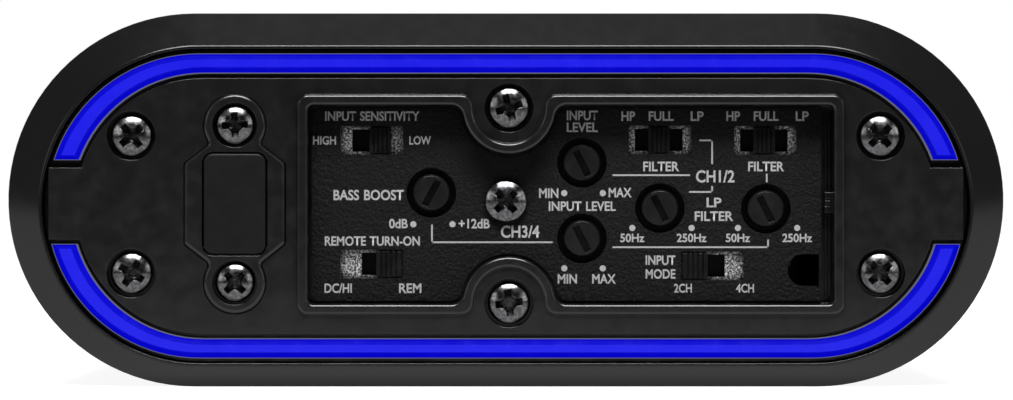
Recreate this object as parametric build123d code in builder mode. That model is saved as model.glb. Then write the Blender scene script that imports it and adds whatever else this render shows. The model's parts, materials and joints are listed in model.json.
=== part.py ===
"""Compact four-channel car amplifier, as separate pieces.

Frame: X across the width, Y along the length with the controls at -Y, Z up.
The origin is on the surface the amplifier rests on, under the middle of its length.
All sizes are in millimetres.
"""

import math
import os

from build123d import *

# ---------------------------------------------------------------- driving dimensions
WIDTH = 160.0
HEIGHT = 60.0
LENGTH = 250.0
ARC_X = 49.2             # x of the centres of the rim's and the strips' round ends
RING_Z = 29.05           # height of those centres

# End cap: depths are measured inwards from the frontmost plane of each end.
RIM_R = 25.6
RIM_DEPTH = 0.8
RIM_EDGE_ROUND = 0.35
BEVEL_DEPTH = 4.8
POCKET_R = 25.2
FLANGE_TOP = 5.7         # floor of the light channel
POCKET_DEPTH = 8.0
CAP_DEPTH = 12.0
WEB_HALF_WIDTH = 55.5    # opening in the web behind the face plate
WEB_BOTTOM = 10.0
WEB_TOP = 48.5
WEB_TAB_R = 4.6          # tabs of the web that carry the notch screws
WEB_TAB_LENGTH = 6.0

# Light strips
STRIP_OUTER_R = 24.45
STRIP_INNER_R = 21.25
INNER_ARC_X = 48.45      # x of the round ends inside the strips and of the face
STRIP_TOP = 1.0
STRIP_SHOULDER = 2.0
STRIP_BACK = 4.7
STRIP_BEVEL = 1.07
UPPER_STRIP_END = 36.4
LOWER_STRIP_END = 22.95
STRIP_END_SLOPE = 0.75

# Face plate
FACE_DEPTH = 0.8
FACE_R = 20.45
EAR_HALF_WIDTH = 73.2
EAR_TOP = 35.15
EAR_BOTTOM = 23.7
BEAD_WIDTH = 1.75
BEAD_ROUND = 0.5
RECESS_CORNER = 0.9
PAN_CORNER = 1.8

# Screws
CORNER_X = 60.0
CORNER_Z = 29.3
CORNER_RISE = 11.0
HEAD_R = 3.4
HEAD_HEIGHT = 2.1
HEAD_BRIM = 0.6          # height of the brim as a share of the head's height
CROSS_ARM = 1.42         # cross recess as shares of the head's radius
CROSS_BLADE = 0.36
CROSS_DEPTH = 0.72       # share of the head's height
CROSS_TAPER = 0.62
CORNER_SCREW_LENGTH = 24.0
NOTCH_SCREW_LENGTH = 8.4
PANEL_SCREW_LENGTH = 7.0
PORT_SCREW_LENGTH = 4.5
COUNTERBORE_R = 3.95
COUNTERBORE_FLOOR = 3.2
M4_SHANK_R = 1.9
M4_HOLE_R = 2.1
M3_SHANK_R = 1.45
M3_HOLE_R = 1.55
NOTCH_X = 0.5
NOTCH_TOP_Z = 44.8
NOTCH_BOTTOM_Z = 13.5
NOTCH_R = 7.45
NOTCH_FILLET = 2.0

# Control recess
RECESS_LEFT = -31.7
RECESS_RIGHT = 52.5
RECESS_BOTTOM = 13.35
RECESS_TOP = 45.16
PANEL_DEPTH = 5.8
PANEL_THICKNESS = 1.5
PANEL_RIGHT = 50.8
PAN_WALL = 1.5
PANEL_SCREW = (0.0, 29.8)
PANEL_BOSS = (3.6, 6.0)                 # radius and length of the boss behind it

POT_HOLE_R = 4.0
POT_SHAFT_R = 3.0
POT_BORE_R = 3.05
POT_SLOT = (1.2, 4.6, 1.6)
POT_BODY_FRONT = 9.2
POT_BODY_BACK = 14.6
POT_BODY = 9.6           # side of the square body
POTS = {                 # name: x, z, direction of the slot from upright, in degrees
    "bass_boost_shaft": (-12.0, 31.15, -28.0),
    "level_front_shaft": (12.25, 36.0, 27.0),
    "level_rear_shaft": (12.25, 23.8, 27.0),
    "low_pass_front_shaft": (24.8, 28.7, 27.0),
    "low_pass_rear_shaft": (41.85, 28.6, 27.0),
}

WINDOW = (10.1, 4.6)
FRAME_FRONT = 7.4
FRAME_BACK = 14.0
FRAME_SHEET = 0.5
KNOB_FRONT = 5.6
SLOT_HEIGHT = 3.6
KNOB_HEIGHT = 4.0
NECK_INSET = 0.35        # the neck is this much shorter than the knob at each end
NECK_HEIGHT = 3.0
RUNNING_GAP = 0.3
CARRIAGE_FRONT = 8.2
CARRIAGE_BACK = 10.0
SWITCH_BASE_FRONT = 10.3
SWITCHES = {             # name: window x, z, knob offset, knob length, travel left and right
    "sensitivity_slider": (-21.6, 39.6, 1.4, 3.5, 2.8, 0.0),
    "turn_on_slider": (-21.6, 19.7, 2.75, 4.0, 2.4, 0.0),
    "filter_front_slider": (24.85, 39.7, -0.2, 3.5, 2.1, 2.1),
    "filter_rear_slider": (41.8, 39.6, -0.2, 3.5, 2.1, 2.1),
    "input_mode_slider": (33.25, 19.4, -2.75, 4.0, 0.0, 2.8),
}
DRAIN_HOLE = (47.9, 18.7, 2.55, 50.4)   # x, z, half height, x of its flat side
BOARD_CORNER = (44.5, 23.0)             # the control board stops short of this corner
RIDGES = (51.5, 52.1)                   # x of the upright ridges beside the panel
RIDGE_FRONT = 6.3
RIDGE_MARGIN = 1.2
CATCH = (51.3, 28.0, 31.2, 4.9)         # left x, bottom z, top z, depth of its front

# Port cover on the control end
PORT_X = -43.4
PORT_Z = 29.4
PORT_SCREW_RISE = 12.6
PORT_LOBE_R = 5.0
PORT_HALF_WIDTH = 8.1
PORT_SIDE = 6.5          # half height of the straight sides
PORT_NECK = (3.6, 10.0)
PORT_FRONT = 0.3
PORT_BACK = 3.2
PORT_EDGE_ROUND = 0.6
PORT_CORNER_ROUND = 0.8
PLUG = (9.9, 16.1, 1.5)
PLUG_GAP = 0.3
SOCKET = (11.6, 13.6)
SOCKET_FRONT = 4.2
SOCKET_LENGTH = 13.0
SOCKET_MOUTH = (7.8, 6.8)
SOCKET_MOUTH_DEPTH = 10.0
PLUG_STUB = 4.5
PORT_HEAD_R = 3.2
PORT_HEAD_DEPTH = 2.2    # depth of the seats of the cover's screws

# Body
BODY_R = 29.4
CAVITY_R = 21.0
GROOVE_WIDTH = 2.6
GROOVE_DEPTH = 5.0
GROOVE_PITCH = 5.2
SIDE_GROOVES = 10
SIDE_GROOVE_START = 78.0
SIDE_GROOVE_STEP = 14.0
BOSS_R = 4.4
OPENING_HALF_WIDTH = 38.0
BASE_HALF_WIDTH = 50.0
BASE_THICKNESS = 2.0
RAIL_X = 36.0
RAIL_THICKNESS = 3.0
RAIL_BOTTOM = 22.0
RAIL_SETBACK = 18.0
WELL_X = 46.0
WELL_Y = 85.0
WELL_R = 6.0
WELL_BORE_R = 4.75
WELL_FLOOR = 2.0
SLEEVE_TOP = 54.0
BASE_SCREW_X = 43.0
BASE_SCREW_Y = (-100.0, -50.0, 0.0, 50.0, 100.0)
BASE_SCREW_HEAD_R = 2.8
MOUNT_HOLE_R = 2.4

# Inside
BOARD_BOTTOM = 13.0
BOARD_THICKNESS = 1.6
BOARD_HALF_WIDTH = 38.5
BOARD_HALF_LENGTH = 94.0
BOARD_TOP = BOARD_BOTTOM + BOARD_THICKNESS
CONTROL_BOARD_DEPTH = 15.0
STANDOFF_X = 33.0
STANDOFF_Y = (-80.0, 9.0, 80.0)
TOROID_CORE = (17.0, 9.0, 16.0)         # outer radius, inner radius, height
TOROID_PLACE = (0.0, -35.0)
TOROID_WIRE = 2.2
COIL_CORE = (7.5, 4.0, 8.0)
COIL_PLACES = [(-10.0, 50.0), (10.0, 50.0), (-10.0, 72.0), (10.0, 72.0)]
COIL_WIRE = 1.3
CAPACITOR_R = 8.0
CAPACITOR_HEIGHT = 30.0
CAPACITOR_PLACES = [(x, y) for x in (-18.0, 0.0, 18.0) for y in (4.0, 24.0)]
TRANSISTOR_PITCH = 18.0
TRANSISTOR_Y = [TRANSISTOR_PITCH * (step - 3) for step in range(7)]
TRANSISTOR_DEPTH = 4.6
CLAMP_Y = [TRANSISTOR_Y[step] + TRANSISTOR_PITCH / 2 for step in (0, 2, 4)]
CLAMP_Z = RAIL_BOTTOM + 6.5
CLAMP_BAR = 2.0

# Connection end, in its own left-to-right order as seen from outside
BAY = (-50.0, 50.0, 13.35, 45.16)
BAY_FLOOR = 12.5
RCA_X = (-43.5, -33.5, -23.5, -13.5)
RCA_Z = 37.6
RCA_R = 4.15
RCA_SEAT = 9.9
RCA_FRONT = 2.5
TERMINAL_FRONT = 3.0
POWER_BLOCK = (33.0, 14.5, 21.3)        # width, height, height of its centre
POWER_X = (-40.0, -29.0, -18.0)
POWER_ENTRY = 5.0
POWER_ENTRY_Z = 17.8
POWER_ENTRY_DEPTH = 7.0
POWER_SCREW_Z = 24.6
SPEAKER_PITCH = 5.0
SPEAKER_X0 = 11.6
FUSE_X = (16.6, 37.6)
FUSE_Z = 33.8
FUSE_BODY = (19.0, 5.0)
FUSE_FRONT = 1.0
FUSE_HOLDER_FRONT = 5.0

os.makedirs("parts", exist_ok=True)


# ---------------------------------------------------------------- helpers
def end_plane(end, depth):
    """Plane facing outwards at one end, with local x to the viewer's right and y up."""
    if end == "front":
        return Plane((0, depth - LENGTH / 2, 0), x_dir=(1, 0, 0), z_dir=(0, -1, 0))
    return Plane((0, LENGTH / 2 - depth, 0), x_dir=(-1, 0, 0), z_dir=(0, 1, 0))


def on_end(end, depth, x, z, turn=0.0):
    """Location on an end plane, turned about the outward axis."""
    return end_plane(end, depth).location * Location((x, z, 0), (0, 0, turn))


def save(part, name):
    """Label a finished piece and write it as one STEP file."""
    part.label = name
    export_step(part, f"parts/{name}.step")


def ring_stadium(radius, arc_x=ARC_X, mode=Mode.ADD):
    """Stadium at the height of the rim's round centres, put into the sketch in hand."""
    with Locations((0, RING_Z)):
        SlotCenterToCenter(2 * arc_x, 2 * radius, mode=mode)


def span_rectangle(left, right, bottom, top, mode=Mode.ADD):
    """Rectangle between two corners, added to the sketch in hand."""
    with Locations(((left + right) / 2, (bottom + top) / 2)):
        Rectangle(right - left, top - bottom, mode=mode)


def pan_head_screw(head_r, head_height, shank_r, length):
    """Cross-recess screw with a spherical crown: head above z = 0, shank below it."""
    edge = head_height * HEAD_BRIM
    rise = head_height - edge
    crown_r = (head_r ** 2 + rise ** 2) / (2 * rise)
    half = math.asin(head_r / crown_r) / 2
    middle = (crown_r * math.sin(half), head_height - crown_r * (1 - math.cos(half)))
    with BuildPart() as screw:
        with BuildSketch(Plane.XZ):
            with BuildLine():
                Polyline((0, head_height), (0, -length), (shank_r * 0.6, -length),
                         (shank_r, 0.6 - length), (shank_r, 0), (head_r, 0), (head_r, edge))
                ThreePointArc((head_r, edge), middle, (0, head_height))
            make_face()
            brim = vertices().sort_by(lambda v: v.X + v.Y)[-1]
            fillet(brim, radius=0.2 * head_height)
        revolve(axis=Axis.Z)
        # the cross narrows towards its bottom
        for depth, shrink in ((0, 1.0), (CROSS_DEPTH * head_height, CROSS_TAPER)):
            with BuildSketch(Plane.XY.offset(head_height - depth)):
                arm = CROSS_ARM * head_r * shrink
                blade = CROSS_BLADE * head_r * shrink
                Rectangle(arm, blade)
                Rectangle(blade, arm)
                corners = vertices().sort_by(lambda v: v.X ** 2 + v.Y ** 2)[:4]
                fillet(corners, radius=0.3 * head_r * shrink)
        loft(ruled=True, mode=Mode.SUBTRACT)
    return screw.part


def slotted_screw(head_r, head_height, shank_r, length):
    """Cheese-head terminal screw with a straight slot."""
    with BuildPart() as screw:
        with BuildSketch():
            Circle(head_r)
        extrude(amount=head_height)
        fillet(edges().group_by(Axis.Z)[-1], radius=head_height * 0.25)
        with BuildSketch():
            Circle(shank_r)
        extrude(amount=-length)
        with BuildSketch(Plane.XY.offset(head_height)):
            Rectangle(head_r * 2.2, head_r * 0.3)
        extrude(amount=-head_height * 0.55, mode=Mode.SUBTRACT)
    return screw.part


def copies(shape, locations):
    """The same piece at several places, as one group of separate solids."""
    with BuildPart() as group:
        with Locations(*locations):
            add(shape)
    return group.part


# ---------------------------------------------------------------- end caps and light strips
def end_cap(end):
    """Bevelled rim with a pocket for the face plate and a web that closes the body."""
    with BuildPart() as cap:
        with BuildSketch(end_plane(end, RIM_DEPTH)):
            ring_stadium(RIM_R)
        with BuildSketch(end_plane(end, BEVEL_DEPTH)):
            with Locations((0, HEIGHT / 2)):
                SlotOverall(WIDTH, HEIGHT)
        loft(ruled=True)
        fillet(faces().sort_by(Axis.Y)[0 if end == "front" else -1].edges(), radius=RIM_EDGE_ROUND)
        with BuildSketch(end_plane(end, BEVEL_DEPTH)):
            with Locations((0, HEIGHT / 2)):
                SlotOverall(WIDTH, HEIGHT)
        extrude(amount=BEVEL_DEPTH - CAP_DEPTH)
        with BuildSketch(end_plane(end, 0)):
            ring_stadium(POCKET_R)
        extrude(amount=-POCKET_DEPTH, mode=Mode.SUBTRACT)
        with BuildSketch(end_plane(end, POCKET_DEPTH)):
            span_rectangle(-WEB_HALF_WIDTH, WEB_HALF_WIDTH, WEB_BOTTOM, WEB_TOP)
            with Locations(*notch_places()):
                Circle(WEB_TAB_R, mode=Mode.SUBTRACT)
            tab_middle = WEB_TAB_LENGTH / 2
            with Locations((NOTCH_X, NOTCH_TOP_Z + tab_middle), (NOTCH_X, NOTCH_BOTTOM_Z - tab_middle)):
                Rectangle(2 * WEB_TAB_R, WEB_TAB_LENGTH, mode=Mode.SUBTRACT)
        extrude(amount=POCKET_DEPTH - CAP_DEPTH, mode=Mode.SUBTRACT)
        with Locations(*[on_end(end, POCKET_DEPTH, x, z) for x, z in corner_places()]):
            Hole(M4_HOLE_R, depth=CAP_DEPTH)
        with Locations(*[on_end(end, POCKET_DEPTH, x, z) for x, z in notch_places()]):
            Hole(M3_HOLE_R, depth=CAP_DEPTH)
    return cap.part


def corner_places():
    """Face-plane places of the four corner screws."""
    return [(side * CORNER_X, CORNER_Z + rise) for side in (-1, 1) for rise in (CORNER_RISE, -CORNER_RISE)]


def notch_places():
    """Face-plane places of the two screws in the notches of the bead frame."""
    return [(NOTCH_X, NOTCH_TOP_Z), (NOTCH_X, NOTCH_BOTTOM_Z)]


def strip_sketch(upper, inset):
    """Outline of one light strip, drawn inwards by an inset."""
    ring_stadium(STRIP_OUTER_R - inset)
    ring_stadium(STRIP_INNER_R + inset, INNER_ARC_X, mode=Mode.SUBTRACT)
    step = STRIP_END_SLOPE * inset
    if upper:
        span_rectangle(-WIDTH, WIDTH, -HEIGHT, UPPER_STRIP_END + step, mode=Mode.SUBTRACT)
    else:
        span_rectangle(-WIDTH, WIDTH, LOWER_STRIP_END - step, 2 * HEIGHT, mode=Mode.SUBTRACT)


def light_guide(end, upper):
    """Clear bar with a flat top and bevelled sides, bent round the face."""
    with BuildPart() as guide:
        with BuildSketch(end_plane(end, STRIP_SHOULDER)):
            strip_sketch(upper, 0)
        with BuildSketch(end_plane(end, STRIP_TOP)):
            strip_sketch(upper, STRIP_BEVEL)
        loft(ruled=True)
        with BuildSketch(end_plane(end, STRIP_SHOULDER)):
            strip_sketch(upper, 0)
        extrude(amount=STRIP_SHOULDER - STRIP_BACK)
    return guide.part


def led_strips(end):
    """Two curved circuit strips on the channel floor under the light guides."""
    with BuildPart() as strips:
        for upper in (True, False):
            with BuildSketch(end_plane(end, FLANGE_TOP)):
                strip_sketch(upper, 0.2)
            extrude(amount=FLANGE_TOP - STRIP_BACK)
    return strips.part


# ---------------------------------------------------------------- face plates
def recess_outline(box, notch_r, grow, corner):
    """Recess outline: a rounded rectangle with a notch round each of its two screws."""
    left, right, bottom, top = box
    with BuildSketch() as outline:
        with Locations(((left + right) / 2, (bottom + top) / 2)):
            RectangleRounded(right - left + 2 * grow, top - bottom + 2 * grow, corner)
        with Locations(*notch_places()):
            Circle(notch_r, mode=Mode.SUBTRACT)
        mouth = outline.vertices().filter_by(lambda v: abs(v.X - NOTCH_X) < notch_r + 0.1)
        fillet(mouth, radius=NOTCH_FILLET)
    return outline.sketch


def face_blank(end, box, pan_floor):
    """Raised face with ears between the strips, a bead frame and a sunken pan."""
    inner = recess_outline(box, NOTCH_R, 0, RECESS_CORNER)
    pan = recess_outline(box, NOTCH_R - PAN_WALL, PAN_WALL, PAN_CORNER)
    bead = recess_outline(box, NOTCH_R - BEAD_WIDTH, BEAD_WIDTH, PAN_CORNER)
    tip = end_plane(end, 0).origin.Y
    with BuildPart() as blank:
        with BuildSketch(end_plane(end, FACE_DEPTH)):
            add(bead)
            add(inner, mode=Mode.SUBTRACT)
        extrude(amount=FACE_DEPTH)
        fillet(edges().filter_by_position(Axis.Y, tip - 0.01, tip + 0.01), radius=BEAD_ROUND)
        with BuildSketch(end_plane(end, POCKET_DEPTH)):
            ring_stadium(POCKET_R - 0.1)
        extrude(amount=POCKET_DEPTH - FLANGE_TOP)
        with BuildSketch(end_plane(end, FLANGE_TOP)):
            ring_stadium(FACE_R, INNER_ARC_X)
            span_rectangle(-EAR_HALF_WIDTH, EAR_HALF_WIDTH, EAR_BOTTOM, EAR_TOP)
            ring_stadium(POCKET_R - 0.1, mode=Mode.INTERSECT)
        extrude(amount=FLANGE_TOP - FACE_DEPTH)
        with BuildSketch(end_plane(end, POCKET_DEPTH)):
            add(pan)
        extrude(amount=POCKET_DEPTH - pan_floor - PAN_WALL)
        with BuildSketch(end_plane(end, FACE_DEPTH)):
            add(inner)
        extrude(amount=FACE_DEPTH - pan_floor, mode=Mode.SUBTRACT)
        with Locations(*[on_end(end, FACE_DEPTH, x, z) for x, z in corner_places()]):
            CounterBoreHole(M4_HOLE_R, COUNTERBORE_R, COUNTERBORE_FLOOR - FACE_DEPTH, depth=CAP_DEPTH)
        with Locations(*[on_end(end, FACE_DEPTH, x, z) for x, z in notch_places()]):
            CounterBoreHole(M3_HOLE_R, COUNTERBORE_R, COUNTERBORE_FLOOR - FACE_DEPTH, depth=POCKET_DEPTH)
    return blank.part


def port_outline(grow):
    """Outline of the port cover: straight sides, chamfered necks and two round lobes."""
    neck_x, neck_z = PORT_NECK
    with BuildSketch() as outline:
        with BuildLine():
            Polyline((-PORT_HALF_WIDTH, -PORT_SIDE), (-PORT_HALF_WIDTH, PORT_SIDE), (-neck_x, neck_z),
                     (neck_x, neck_z), (PORT_HALF_WIDTH, PORT_SIDE), (PORT_HALF_WIDTH, -PORT_SIDE),
                     (neck_x, -neck_z), (-neck_x, -neck_z), close=True)
        make_face()
        with Locations((0, PORT_SCREW_RISE), (0, -PORT_SCREW_RISE)):
            Circle(PORT_LOBE_R)
        fillet(vertices(), radius=PORT_CORNER_ROUND)
        if grow:
            offset(amount=grow)
    return outline.sketch


corner_screw = pan_head_screw(HEAD_R, HEAD_HEIGHT, M4_SHANK_R, CORNER_SCREW_LENGTH)
notch_screw = pan_head_screw(HEAD_R, HEAD_HEIGHT, M3_SHANK_R, NOTCH_SCREW_LENGTH)
panel_screw = pan_head_screw(HEAD_R, HEAD_HEIGHT, M3_SHANK_R, PANEL_SCREW_LENGTH)
port_screw = pan_head_screw(PORT_HEAD_R, HEAD_HEIGHT, M3_SHANK_R, PORT_SCREW_LENGTH)

CORNER_TURNS = (40.0, 60.0, 43.0, 42.0)
NOTCH_TURNS = (17.0, 7.0)
PORT_TURNS = (3.0, 45.0)
PANEL_SCREW_TURN = 43.0
BOXES = {
    "front": (RECESS_LEFT, RECESS_RIGHT, RECESS_BOTTOM, RECESS_TOP),
    "rear": BAY,
}
PAN_FLOOR = {"front": PANEL_DEPTH + PANEL_THICKNESS, "rear": BAY_FLOOR + PANEL_THICKNESS}

for end in ("front", "rear"):
    save(end_cap(end), f"{end}_end_cap")
    save(light_guide(end, True), f"{end}_light_guide_upper")
    save(light_guide(end, False), f"{end}_light_guide_lower")
    save(led_strips(end), f"{end}_led_strips")
    places = [on_end(end, COUNTERBORE_FLOOR, x, z, turn)
              for (x, z), turn in zip(corner_places(), CORNER_TURNS)]
    save(copies(corner_screw, places), f"{end}_corner_screws")
    places = [on_end(end, COUNTERBORE_FLOOR, x, z, turn)
              for (x, z), turn in zip(notch_places(), NOTCH_TURNS)]
    save(copies(notch_screw, places), f"{end}_notch_screws")


# ---------------------------------------------------------------- control end
port_pocket = port_outline(0.1)
port_shape = port_outline(0)
front_blank = face_blank("front", BOXES["front"], PAN_FLOOR["front"])
port_screw_places = [(PORT_X, PORT_Z + PORT_SCREW_RISE), (PORT_X, PORT_Z - PORT_SCREW_RISE)]

drain_x, drain_z, drain_r, drain_flat = DRAIN_HOLE
with BuildSketch() as drain:
    with Locations((drain_x, drain_z)):
        Circle(drain_r)
    span_rectangle(drain_x, drain_flat, drain_z - drain_r, drain_z + drain_r)
drain_outline = drain.sketch

with BuildPart() as front_face_plate:
    add(front_blank)
    with BuildSketch(end_plane("front", 0)):
        with Locations((PORT_X, PORT_Z)):
            add(port_pocket)
    extrude(amount=-PORT_BACK, mode=Mode.SUBTRACT)
    with BuildSketch(end_plane("front", 0)):
        with Locations((PORT_X, PORT_Z)):
            Rectangle(SOCKET[0] + 0.4, SOCKET[1] + 0.4)
    extrude(amount=-POCKET_DEPTH, mode=Mode.SUBTRACT)
    with Locations(*[on_end("front", PORT_BACK, x, z) for x, z in port_screw_places]):
        Hole(M3_HOLE_R, depth=4.6)
    # boss that takes the screw of the control panel
    with BuildSketch(end_plane("front", PAN_FLOOR["front"])):
        with Locations(PANEL_SCREW):
            Circle(PANEL_BOSS[0])
    extrude(amount=-PANEL_BOSS[1])
    with Locations(on_end("front", PAN_FLOOR["front"], *PANEL_SCREW)):
        Hole(M3_HOLE_R, depth=PANEL_BOSS[1])
    for x, z, turn in POTS.values():
        with Locations(on_end("front", 0, x, z)):
            Hole(POT_HOLE_R, depth=POCKET_DEPTH + PAN_WALL)
    for x, z, *knob in SWITCHES.values():
        with BuildSketch(end_plane("front", 0)):
            with Locations((x, z)):
                Rectangle(WINDOW[0] + 3.4, WINDOW[1] + 2.4)
        extrude(amount=-POCKET_DEPTH - PAN_WALL, mode=Mode.SUBTRACT)
    with BuildSketch(end_plane("front", 0)):
        add(drain_outline)
    extrude(amount=-POCKET_DEPTH - PAN_WALL, mode=Mode.SUBTRACT)
    # upright ridges and the catch beside the control panel
    with BuildSketch(end_plane("front", PAN_FLOOR["front"] + 0.2)):
        for x in RIDGES:
            span_rectangle(x - 0.15, x + 0.15, RECESS_BOTTOM + RIDGE_MARGIN, RECESS_TOP - RIDGE_MARGIN)
    extrude(amount=PAN_FLOOR["front"] + 0.2 - RIDGE_FRONT)
    catch_left, catch_bottom, catch_top, catch_front = CATCH
    with BuildSketch(end_plane("front", PAN_FLOOR["front"] + 0.2)):
        span_rectangle(catch_left, RECESS_RIGHT + 0.3, catch_bottom, catch_top)
    extrude(amount=PAN_FLOOR["front"] + 0.2 - catch_front)
    with BuildSketch(end_plane("front", catch_front)):
        with Locations((catch_left, (catch_bottom + catch_top) / 2)):
            with GridLocations(1, 0.9, 1, 2):
                Rectangle(1.6, 0.35)
    extrude(amount=-0.4, mode=Mode.SUBTRACT)
save(front_face_plate.part, "front_face_plate")

with BuildPart() as port_cover:
    with BuildSketch(end_plane("front", PORT_BACK)):
        with Locations((PORT_X, PORT_Z)):
            add(port_shape)
    extrude(amount=PORT_BACK - PORT_FRONT)
    fillet(edges().group_by(Axis.Y)[0], radius=PORT_EDGE_ROUND)
    with Locations(*[on_end("front", PORT_FRONT, x, z) for x, z in port_screw_places]):
        CounterBoreHole(M3_HOLE_R, PORT_HEAD_R + 0.4, PORT_HEAD_DEPTH, depth=4.0)
    with BuildSketch(end_plane("front", 0)):
        with Locations((PORT_X, PORT_Z)):
            RectangleRounded(PLUG[0] + 2 * PLUG_GAP, PLUG[1] + 2 * PLUG_GAP, PLUG[2] + PLUG_GAP)
    extrude(amount=-PORT_BACK, mode=Mode.SUBTRACT)
save(port_cover.part, "port_cover")

with BuildPart() as port_plug:
    with BuildSketch(end_plane("front", PORT_BACK - 0.3)):
        with Locations((PORT_X, PORT_Z)):
            RectangleRounded(PLUG[0], PLUG[1], PLUG[2])
    extrude(amount=PORT_BACK - 0.3)
    fillet(edges().group_by(Axis.Y)[0], radius=0.35)
    # stub that plugs the socket behind
    with BuildSketch(end_plane("front", PORT_BACK - 0.3)):
        with Locations((PORT_X, PORT_Z)):
            Rectangle(SOCKET_MOUTH[0] - 2 * PLUG_GAP, SOCKET_MOUTH[1] - 2 * PLUG_GAP)
    extrude(amount=-PLUG_STUB)
save(port_plug.part, "port_plug")

with BuildPart() as remote_socket:
    with BuildSketch(end_plane("front", SOCKET_FRONT)):
        with Locations((PORT_X, PORT_Z)):
            Rectangle(*SOCKET)
    extrude(amount=-SOCKET_LENGTH)
    with BuildSketch(end_plane("front", SOCKET_FRONT)):
        with Locations((PORT_X, PORT_Z)):
            Rectangle(*SOCKET_MOUTH)
    extrude(amount=-SOCKET_MOUTH_DEPTH, mode=Mode.SUBTRACT)
save(remote_socket.part, "remote_socket")

places = [on_end("front", PORT_FRONT + PORT_HEAD_DEPTH, x, z, turn)
          for (x, z), turn in zip(port_screw_places, PORT_TURNS)]
save(copies(port_screw, places), "port_cover_screws")

panel_outline = recess_outline(BOXES["front"], NOTCH_R + 0.4, -0.4, 0.6)
with BuildPart() as control_plate:
    with BuildSketch(end_plane("front", PAN_FLOOR["front"])):
        add(panel_outline)
        span_rectangle(PANEL_RIGHT, WIDTH, 0, HEIGHT, mode=Mode.SUBTRACT)
        for x, z, turn in POTS.values():
            with Locations((x, z)):
                Circle(POT_HOLE_R, mode=Mode.SUBTRACT)
        for x, z, *knob in SWITCHES.values():
            with Locations((x, z)):
                Rectangle(*WINDOW, mode=Mode.SUBTRACT)
        with Locations(PANEL_SCREW):
            Circle(M3_HOLE_R, mode=Mode.SUBTRACT)
        add(drain_outline, mode=Mode.SUBTRACT)
    extrude(amount=PANEL_THICKNESS)
save(control_plate.part, "control_plate")
panel_screw_place = on_end("front", PANEL_DEPTH, *PANEL_SCREW, PANEL_SCREW_TURN)
save(copies(panel_screw, [panel_screw_place]), "control_plate_screw")

for name, (x, z, turn) in POTS.items():
    with BuildPart() as shaft:
        with BuildSketch(end_plane("front", PANEL_DEPTH)):
            with Locations((x, z)):
                Circle(POT_SHAFT_R)
        extrude(amount=PANEL_DEPTH - POT_BODY_BACK + 0.1)
        chamfer(edges().group_by(Axis.Y)[0], length=0.3)
        slot_width, slot_length, slot_depth = POT_SLOT
        with BuildSketch(end_plane("front", PANEL_DEPTH)):
            with Locations(Location((x, z, 0), (0, 0, turn))):
                Rectangle(slot_width, slot_length)
        extrude(amount=-slot_depth, mode=Mode.SUBTRACT)
    save(shaft.part, name)

with BuildPart() as bodies:
    for x, z, turn in POTS.values():
        with BuildSketch(end_plane("front", POT_BODY_FRONT)):
            with Locations((x, z)):
                RectangleRounded(POT_BODY, POT_BODY, 0.8)
                Circle(POT_BORE_R, mode=Mode.SUBTRACT)
        extrude(amount=POT_BODY_FRONT - POT_BODY_BACK)
        with BuildSketch(end_plane("front", POT_BODY_BACK)):
            with Locations((x, z)):
                RectangleRounded(POT_BODY, POT_BODY, 0.8)
        extrude(amount=POT_BODY_BACK - CONTROL_BOARD_DEPTH)
    # insulating bases inside the tin frames of the slide switches
    for x, z, *knob in SWITCHES.values():
        with BuildSketch(end_plane("front", SWITCH_BASE_FRONT)):
            with Locations((x, z)):
                Rectangle(WINDOW[0] + 1.6, WINDOW[1] + 0.8)
        extrude(amount=SWITCH_BASE_FRONT - FRAME_BACK)
save(bodies.part, "pot_and_switch_bodies")

with BuildPart() as switch_frames:
    for x, z, shift, length, left, right in SWITCHES.values():
        with BuildSketch(end_plane("front", FRAME_FRONT)):
            with Locations((x, z)):
                Rectangle(WINDOW[0] + 2.6, WINDOW[1] + 1.8)
        extrude(amount=FRAME_FRONT - FRAME_BACK)
        with BuildSketch(end_plane("front", FRAME_FRONT + FRAME_SHEET)):
            with Locations((x, z)):
                Rectangle(WINDOW[0] + 1.6, WINDOW[1] + 0.8)
        extrude(amount=-FRAME_BACK, mode=Mode.SUBTRACT)
        with BuildSketch(end_plane("front", FRAME_FRONT)):
            with Locations((x + shift + (right - left) / 2, z)):
                Rectangle(length + left + right, SLOT_HEIGHT)
        extrude(amount=-FRAME_SHEET, mode=Mode.SUBTRACT)
save(switch_frames.part, "switch_frames")

for name, (x, z, shift, length, left, right) in SWITCHES.items():
    with BuildPart() as slider:
        with BuildSketch(end_plane("front", FRAME_FRONT - RUNNING_GAP)):
            with Locations((x + shift, z)):
                Rectangle(length, KNOB_HEIGHT)
        extrude(amount=FRAME_FRONT - RUNNING_GAP - KNOB_FRONT)
        with BuildSketch(end_plane("front", KNOB_FRONT)):
            with Locations((x + shift, z)):
                with GridLocations(length / 5, 1, 4, 1):
                    Rectangle(0.3, 2 * KNOB_HEIGHT)
        extrude(amount=-0.6, mode=Mode.SUBTRACT)
        with BuildSketch(end_plane("front", CARRIAGE_FRONT)):
            with Locations((x + shift, z)):
                Rectangle(length - 2 * NECK_INSET, NECK_HEIGHT)
        extrude(amount=CARRIAGE_FRONT - FRAME_FRONT + RUNNING_GAP)
        # carriage that runs behind the slotted sheet
        with BuildSketch(end_plane("front", CARRIAGE_FRONT)):
            with Locations((x + shift, z)):
                Rectangle(length, WINDOW[1] + 0.2)
        extrude(amount=CARRIAGE_FRONT - CARRIAGE_BACK)
    save(slider.part, name)

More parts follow.
